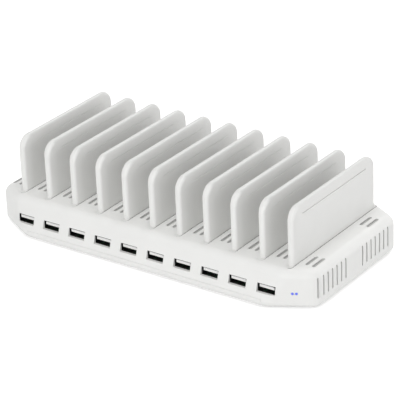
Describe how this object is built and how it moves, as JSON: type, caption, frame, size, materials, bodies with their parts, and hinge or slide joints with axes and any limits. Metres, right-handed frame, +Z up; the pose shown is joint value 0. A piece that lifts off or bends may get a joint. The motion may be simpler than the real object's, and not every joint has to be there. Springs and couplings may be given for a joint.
{
  "type": "multi port usb desktop charger",
  "caption": "White desktop charging stand: a low faceted housing with a row of USB sockets along its front, upright dividers above them, vents and a mains inlet at the back.",
  "frame": {"origin": "on the table under the middle of the feet", "axes": "+X along the row of sockets, to the right seen from the front; +Y to the back; +Z up"},
  "size_m": [0.2542, 0.1268, 0.0661],
  "materials": {
    "cover_plastic": "fine matte white ABS",
    "divider_plastic": "fine matte white ABS",
    "socket_shell": "dark plated sheet steel",
    "tongue_plastic": "white moulded insulator",
    "gold_contact": "gold plated",
    "circuit_board": "green solder mask",
    "black_plastic": "black moulded",
    "screw_steel": "zinc plated",
    "pin_metal": "nickel plated",
    "light_guide": "clear light guide, lit blue",
    "led": "blue light source",
    "ferrite": "sintered ferrite",
    "winding_tape": "yellow tape over copper wire",
    "capacitor_can": "sleeved can",
    "sink_aluminium": "plain extruded",
    "fuse_body": "glass tube with end caps",
    "film_case": "moulded case",
    "foot_rubber": "matte rubber"
  },
  "bodies": {
    "root": {"top_cover": "cover_plastic", "bottom_cover": "cover_plastic", "usb_contacts": "gold_contact", "usb_board": "circuit_board", "power_board": "circuit_board", "board_link": "black_plastic", "housing_screws": "screw_steel", "board_screws": "screw_steel", "mains_inlet": "black_plastic", "inlet_pins": "pin_metal", "light_pipe": "light_guide", "status_led": "led", "transformer_core": "ferrite", "transformer_winding": "winding_tape", "output_capacitors": "capacitor_can", "bulk_capacitor_1": "capacitor_can", "bulk_capacitor_2": "capacitor_can", "common_mode_choke": "ferrite", "primary_heat_sink": "sink_aluminium", "secondary_heat_sink": "sink_aluminium", "switch_transistor": "black_plastic", "output_rectifier": "black_plastic", "bridge_rectifier": "black_plastic", "fuse": "fuse_body", "film_capacitor": "film_case", "divider_01": "divider_plastic", "divider_02": "divider_plastic", "divider_03": "divider_plastic", "divider_04": "divider_plastic", "divider_05": "divider_plastic", "divider_06": "divider_plastic", "divider_07": "divider_plastic", "divider_08": "divider_plastic", "divider_09": "divider_plastic", "divider_10": "divider_plastic", "divider_11": "divider_plastic", "usb_shell_01": "socket_shell", "usb_shell_02": "socket_shell", "usb_shell_03": "socket_shell", "usb_shell_04": "socket_shell", "usb_shell_05": "socket_shell", "usb_shell_06": "socket_shell", "usb_shell_07": "socket_shell", "usb_shell_08": "socket_shell", "usb_shell_09": "socket_shell", "usb_shell_10": "socket_shell", "usb_tongue_01": "tongue_plastic", "usb_tongue_02": "tongue_plastic", "usb_tongue_03": "tongue_plastic", "usb_tongue_04": "tongue_plastic", "usb_tongue_05": "tongue_plastic", "usb_tongue_06": "tongue_plastic", "usb_tongue_07": "tongue_plastic", "usb_tongue_08": "tongue_plastic", "usb_tongue_09": "tongue_plastic", "usb_tongue_10": "tongue_plastic", "foot_1": "foot_rubber", "foot_2": "foot_rubber", "foot_3": "foot_rubber", "foot_4": "foot_rubber"}
  },
  "joints": []
}
